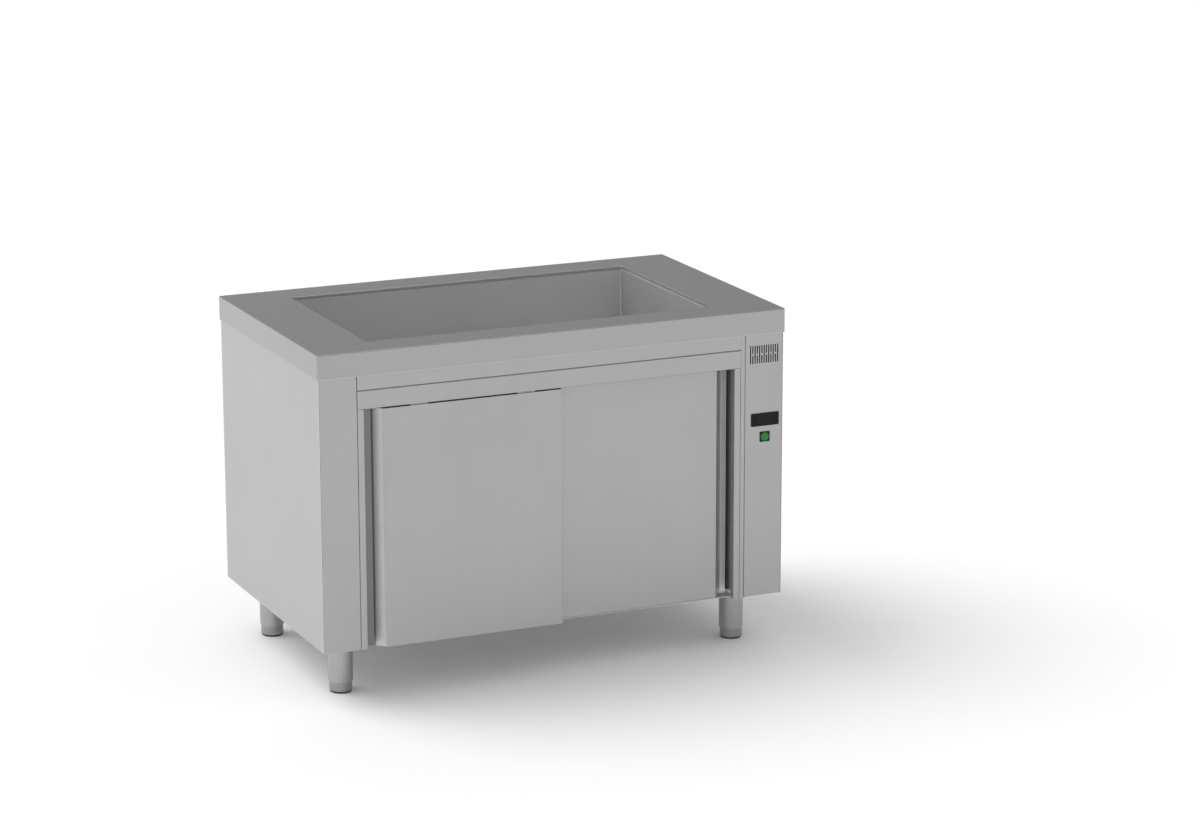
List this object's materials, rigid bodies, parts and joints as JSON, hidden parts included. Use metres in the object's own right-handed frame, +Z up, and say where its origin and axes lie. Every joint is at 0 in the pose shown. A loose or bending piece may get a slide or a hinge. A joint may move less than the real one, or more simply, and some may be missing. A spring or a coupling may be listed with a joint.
{
  "type": "bain-marie counter",
  "caption": "Stainless steel bain-marie counter with a sunk water well, a cupboard with sliding doors, a control panel and adjustable legs",
  "frame": {"origin": "on the floor under the middle of the worktop", "axes": "+X to the right along the counter, +Y from the doors to the back, +Z up"},
  "size_m": [1.2, 0.7, 0.85],
  "materials": {
    "brushed_steel": "brushed stainless steel",
    "inner_steel": "mill finish stainless steel",
    "satin_steel": "satin pressed steel",
    "bright_steel": "polished",
    "leg_steel": "brushed tube",
    "foot_steel": "turned steel",
    "element_steel": "heat darkened",
    "track_aluminium": "extruded",
    "valve_brass": "nickel plated brass",
    "lever_red": "dipped red",
    "mineral_wool": "felted wool",
    "nylon": "natural nylon",
    "black_plastic": "fine grained",
    "grey_plastic": "moulded",
    "display_glass": "smoked lens",
    "green_lens": "translucent lens",
    "lamp_lens": "clear lens",
    "pad_rubber": "matt"
  },
  "bodies": {
    "counter_body": {"worktop": "brushed_steel", "top_stiffeners": "inner_steel", "well_pan": "satin_steel", "well_insulation": "mineral_wool", "well_casing": "inner_steel", "heating_element": "element_steel", "element_clamps": "inner_steel", "drain_socket": "satin_steel", "drain_strainer": "satin_steel", "drain_valve_body": "valve_brass", "drain_pipe": "satin_steel", "left_side_panel": "brushed_steel", "right_side_panel": "brushed_steel", "back_panel": "brushed_steel", "base_deck": "inner_steel", "left_inner_wall": "inner_steel", "right_inner_wall": "inner_steel", "left_front_post": "brushed_steel", "left_stile": "brushed_steel", "right_stile": "brushed_steel", "control_column": "brushed_steel", "control_panel": "brushed_steel", "front_fascia": "brushed_steel", "door_head_rail": "brushed_steel", "upper_track": "track_aluminium", "door_guides": "nylon", "controller_case": "black_plastic", "controller_front": "black_plastic", "controller_display": "display_glass", "switch_housing": "black_plastic", "switch_lamp": "lamp_lens", "mounting_rail": "inner_steel", "power_relay": "grey_plastic", "terminal_block": "grey_plastic", "cable_gland": "black_plastic", "leg_plates": "inner_steel", "leg_sleeves": "leg_steel", "leg_inserts": "black_plastic"},
    "drain_lever": {"drain_valve_ball": "bright_steel", "drain_valve_lever": "lever_red"},
    "push_button": {"switch_button": "green_lens"},
    "left_door": {"left_door_skin": "brushed_steel", "left_door_liner": "inner_steel", "left_door_hangers": "inner_steel"},
    "left_door_roller_1_wheel": {"left_door_roller_1": "nylon"},
    "left_door_roller_2_wheel": {"left_door_roller_2": "nylon"},
    "right_door": {"right_door_skin": "brushed_steel", "right_door_liner": "inner_steel", "right_door_hangers": "inner_steel"},
    "right_door_roller_1_wheel": {"right_door_roller_1": "nylon"},
    "right_door_roller_2_wheel": {"right_door_roller_2": "nylon"},
    "foot_front_left_screw": {"foot_front_left": "foot_steel", "pad_front_left": "pad_rubber"},
    "foot_front_right_screw": {"foot_front_right": "foot_steel", "pad_front_right": "pad_rubber"},
    "foot_rear_left_screw": {"foot_rear_left": "foot_steel", "pad_rear_left": "pad_rubber"},
    "foot_rear_right_screw": {"foot_rear_right": "foot_steel", "pad_rear_right": "pad_rubber"}
  },
  "joints": [
    {"name": "drain_lever_turn", "type": "hinge", "parent": "counter_body", "child": "drain_lever", "pos_m": [0.39, 0.205, 0.6063], "axis": [0, -1, 0], "range_deg": [0, 90]},
    {"name": "push_button_press", "type": "slide", "parent": "counter_body", "child": "push_button", "axis": [0, 1, 0], "range_m": [0, 0.0015], "stiffness_N_per_m": 600, "springref_m": -0.0008},
    {"name": "left_door_slide", "type": "slide", "parent": "counter_body", "child": "left_door", "axis": [1, 0, 0], "range_m": [0, 0.435]},
    {"name": "left_door_roller_1_turn", "type": "hinge", "parent": "left_door", "child": "left_door_roller_1_wheel", "pos_m": [-0.347, -0.337, 0.735], "axis": [0, 1, 0], "range_deg": [0, 3117]},
    {"name": "left_door_roller_2_turn", "type": "hinge", "parent": "left_door", "child": "left_door_roller_2_wheel", "pos_m": [-0.077, -0.337, 0.735], "axis": [0, 1, 0], "range_deg": [0, 3117]},
    {"name": "right_door_slide", "type": "slide", "parent": "counter_body", "child": "right_door", "axis": [-1, 0, 0], "range_m": [0, 0.435]},
    {"name": "right_door_roller_1_turn", "type": "hinge", "parent": "right_door", "child": "right_door_roller_1_wheel", "pos_m": [0.0723, -0.31, 0.735], "axis": [0, -1, 0], "range_deg": [0, 3117]},
    {"name": "right_door_roller_2_turn", "type": "hinge", "parent": "right_door", "child": "right_door_roller_2_wheel", "pos_m": [0.3423, -0.31, 0.735], "axis": [0, -1, 0], "range_deg": [0, 3117]},
    {"name": "foot_front_left_height", "type": "slide", "parent": "counter_body", "child": "foot_front_left_screw", "axis": [0, 0, 1], "range_m": [-0.02, 0.02]},
    {"name": "foot_front_right_height", "type": "slide", "parent": "counter_body", "child": "foot_front_right_screw", "axis": [0, 0, 1], "range_m": [-0.02, 0.02]},
    {"name": "foot_rear_left_height", "type": "slide", "parent": "counter_body", "child": "foot_rear_left_screw", "axis": [0, 0, 1], "range_m": [-0.02, 0.02]},
    {"name": "foot_rear_right_height", "type": "slide", "parent": "counter_body", "child": "foot_rear_right_screw", "axis": [0, 0, 1], "range_m": [-0.02, 0.02]}
  ],
  "couplings": [
    {"joint": "left_door_roller_1_turn", "follows": "left_door_slide", "rad_per_m": 125},
    {"joint": "left_door_roller_2_turn", "follows": "left_door_slide", "rad_per_m": 125},
    {"joint": "right_door_roller_1_turn", "follows": "right_door_slide", "rad_per_m": 125},
    {"joint": "right_door_roller_2_turn", "follows": "right_door_slide", "rad_per_m": 125}
  ]
}
